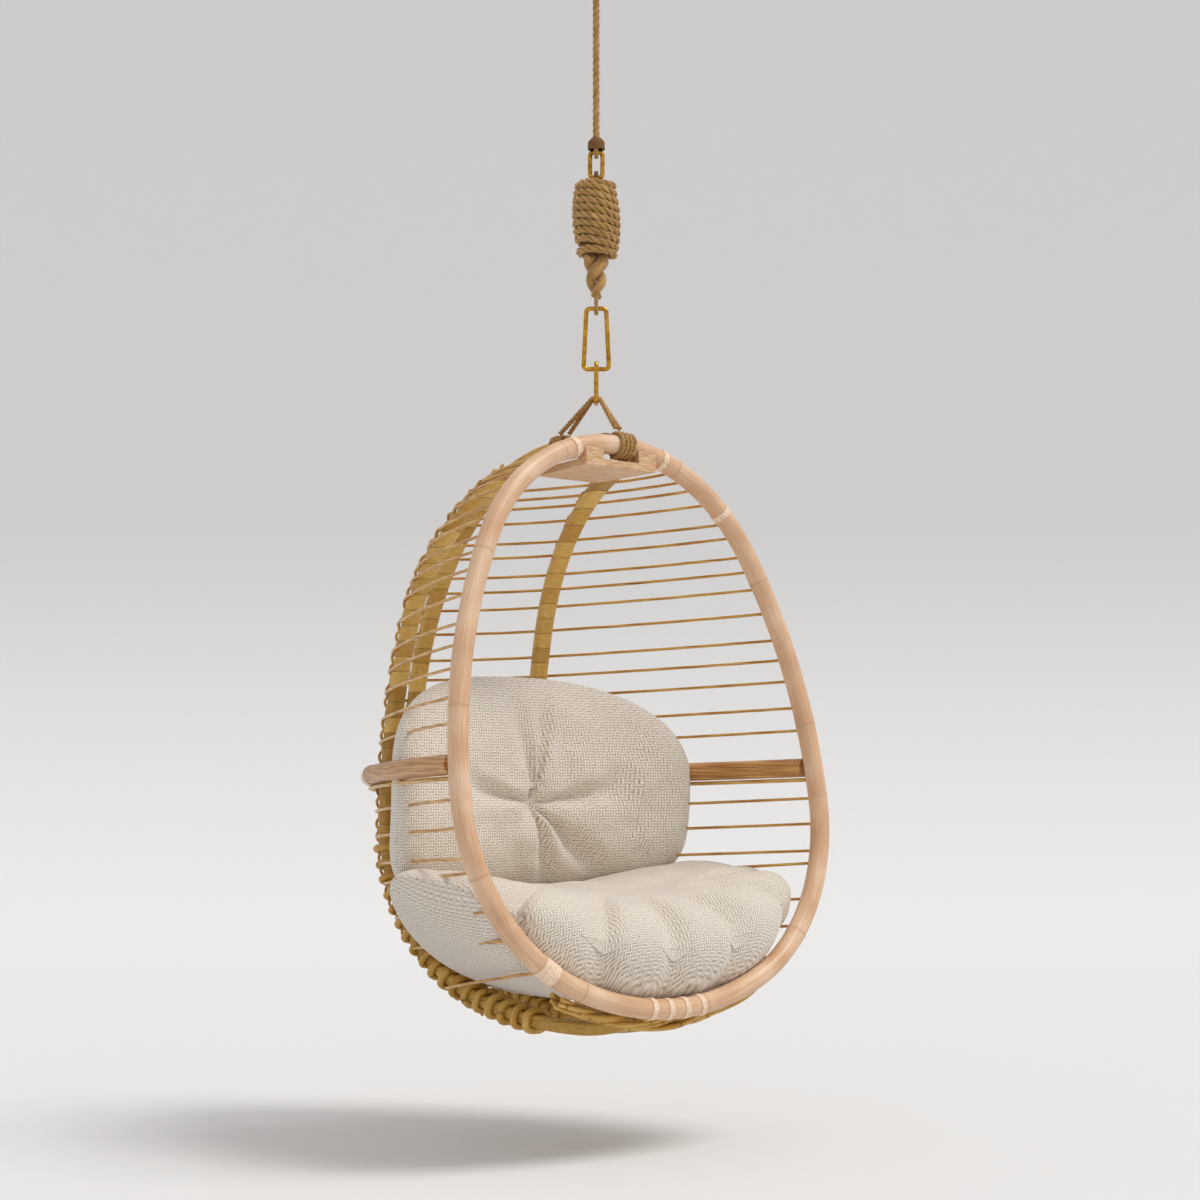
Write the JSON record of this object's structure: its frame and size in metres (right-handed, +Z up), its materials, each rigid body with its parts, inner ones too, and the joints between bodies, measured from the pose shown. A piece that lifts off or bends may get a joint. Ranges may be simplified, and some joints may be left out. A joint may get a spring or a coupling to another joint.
{
  "type": "hanging egg chair",
  "caption": "Egg-shaped rattan basket chair that hangs on a rope with a wound knot and brass links, with a seat cushion and a back cushion.",
  "frame": {"origin": "where the middle of the ceiling plate meets the ceiling", "axes": "+Z up along the hanging rope, +X to the right of the opening as it is seen from the front, +Y to the back of the basket"},
  "size_m": [0.971, 0.8965, 2.2247],
  "materials": {
    "steel": "satin",
    "brass": "satin",
    "rope": "laid natural fibre",
    "dark_rope": "laid natural fibre",
    "hoop_pole": "satin",
    "rib_pole": "gloss",
    "rail_pole": "satin",
    "cane": "gloss",
    "binding": "satin",
    "block": "satin",
    "cushion": "coarse basket weave"
  },
  "bodies": {
    "ceiling": {"ceiling_plate": "steel", "swivel_washer": "steel"},
    "hook": {"ceiling_hook": "steel", "swivel_nut": "steel", "rope_thimble": "steel", "top_rope": "rope", "eye_seizing": "dark_rope", "rope_collar": "dark_rope"},
    "rope": {"top_link": "brass", "knot_core": "dark_rope", "rope_knot": "rope", "knot_neck": "rope", "long_link": "brass"},
    "basket": {"small_link": "brass", "bail_cord_left": "rope", "bail_cord_right": "rope", "front_lashing": "rope", "rear_lashing": "rope", "front_hoop": "hoop_pole", "hoop_bindings": "binding", "crown_block": "block", "rib_left": "rib_pole", "rib_centre": "rib_pole", "rib_right": "rib_pole", "mid_rail": "rail_pole", "rail_cane": "cane", "rail_bindings": "binding", "cane_01": "cane", "cane_02": "cane", "cane_03": "cane", "cane_04": "cane", "cane_05": "cane", "cane_06": "cane", "cane_07": "cane", "cane_08": "cane", "cane_09": "cane", "cane_10": "cane", "cane_11": "cane", "cane_12": "cane", "cane_13": "cane", "cane_14": "cane", "cane_15": "cane", "cane_16": "cane", "cane_17": "cane", "cane_18": "cane", "cane_19": "cane", "cane_20": "cane", "cane_21": "cane", "cane_22": "cane", "back_cushion": "cushion", "seat_cushion": "cushion"}
  },
  "joints": [
    {"name": "swivel", "type": "hinge", "parent": "ceiling", "child": "hook", "pos_m": [0, 0, 0], "axis": [0, 0, 1], "continuous": true},
    {"name": "rope_swing", "type": "hinge", "parent": "hook", "child": "rope", "pos_m": [0, 0, -0.48423], "axis": [0, 1, 0], "range_deg": [-10, 10]},
    {"name": "basket_swing", "type": "hinge", "parent": "rope", "child": "basket", "pos_m": [0, 0, -0.92373], "axis": [0, 1, 0], "range_deg": [-12, 12]}
  ]
}
